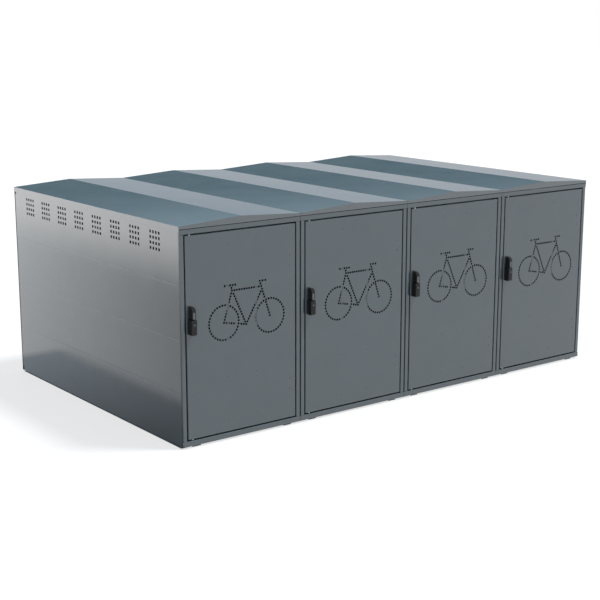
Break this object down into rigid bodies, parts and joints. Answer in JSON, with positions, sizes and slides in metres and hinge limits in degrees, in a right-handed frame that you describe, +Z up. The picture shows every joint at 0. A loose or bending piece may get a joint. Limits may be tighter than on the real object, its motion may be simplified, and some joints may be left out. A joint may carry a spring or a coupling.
{
  "type": "row of bicycle lockers",
  "caption": "Row of lockable sheet steel bicycle lockers under low gable caps, with a hinged door on each bay, a bicycle sign punched in it, lever locks, vented end walls and levelling feet.",
  "frame": {"origin": "on the floor, in the middle of the row's bounding box", "axes": "+Z up, +X along the row to the right as seen from the front, the doors face -Y"},
  "size_m": [3.2, 2.04, 1.25],
  "materials": {
    "wall_coat": "satin blue-grey powder coat",
    "door_coat": "satin blue-grey powder coat",
    "roof_coat": "satin blue-grey powder coat",
    "dark_coat": "dark grey powder coat",
    "zinc": "zinc plated",
    "black_plastic": "black moulded plastic",
    "foot_rubber": "black"
  },
  "bodies": {
    "housing": {"front_stiles": "door_coat", "front_rails": "door_coat", "rear_stiles": "dark_coat", "rear_rails": "dark_coat", "roof_1": "roof_coat", "roof_2": "roof_coat", "roof_3": "roof_coat", "roof_4": "roof_coat", "left_vent_panel": "wall_coat", "left_wall_panels": "wall_coat", "right_vent_panel": "wall_coat", "right_wall_panels": "wall_coat", "rear_wall_1": "wall_coat", "rear_wall_2": "wall_coat", "rear_wall_3": "wall_coat", "rear_wall_4": "wall_coat", "partition_1": "dark_coat", "partition_2": "dark_coat", "partition_3": "dark_coat", "levelling_feet": "foot_rubber", "hinge_brackets": "zinc"},
    "door_1": {"door_1_panel": "door_coat", "door_1_stiffeners": "door_coat", "door_1_hinges": "zinc", "door_1_rods": "zinc", "door_1_lock": "black_plastic"},
    "lever_1": {"door_1_lever": "black_plastic"},
    "door_2": {"door_2_panel": "door_coat", "door_2_stiffeners": "door_coat", "door_2_hinges": "zinc", "door_2_rods": "zinc", "door_2_lock": "black_plastic"},
    "lever_2": {"door_2_lever": "black_plastic"},
    "door_3": {"door_3_panel": "door_coat", "door_3_stiffeners": "door_coat", "door_3_hinges": "zinc", "door_3_rods": "zinc", "door_3_lock": "black_plastic"},
    "lever_3": {"door_3_lever": "black_plastic"},
    "door_4": {"door_4_panel": "door_coat", "door_4_stiffeners": "door_coat", "door_4_hinges": "zinc", "door_4_rods": "zinc", "door_4_lock": "black_plastic"},
    "lever_4": {"door_4_lever": "black_plastic"}
  },
  "joints": [
    {"name": "door_1_hinge", "type": "hinge", "parent": "housing", "child": "door_1", "pos_m": [-0.852, -0.97, 0.6], "axis": [0, 0, 1], "range_deg": [0, 105]},
    {"name": "lever_1_turn", "type": "hinge", "parent": "door_1", "child": "lever_1", "pos_m": [-1.536, -0.98, 0.736], "axis": [0, 1, 0], "range_deg": [0, 90]},
    {"name": "door_2_hinge", "type": "hinge", "parent": "housing", "child": "door_2", "pos_m": [-0.052, -0.97, 0.6], "axis": [0, 0, 1], "range_deg": [0, 105]},
    {"name": "lever_2_turn", "type": "hinge", "parent": "door_2", "child": "lever_2", "pos_m": [-0.736, -0.98, 0.736], "axis": [0, 1, 0], "range_deg": [0, 90]},
    {"name": "door_3_hinge", "type": "hinge", "parent": "housing", "child": "door_3", "pos_m": [0.748, -0.97, 0.6], "axis": [0, 0, 1], "range_deg": [0, 105]},
    {"name": "lever_3_turn", "type": "hinge", "parent": "door_3", "child": "lever_3", "pos_m": [0.064, -0.98, 0.736], "axis": [0, 1, 0], "range_deg": [0, 90]},
    {"name": "door_4_hinge", "type": "hinge", "parent": "housing", "child": "door_4", "pos_m": [1.548, -0.97, 0.6], "axis": [0, 0, 1], "range_deg": [0, 105]},
    {"name": "lever_4_turn", "type": "hinge", "parent": "door_4", "child": "lever_4", "pos_m": [0.864, -0.98, 0.736], "axis": [0, 1, 0], "range_deg": [0, 90]}
  ]
}
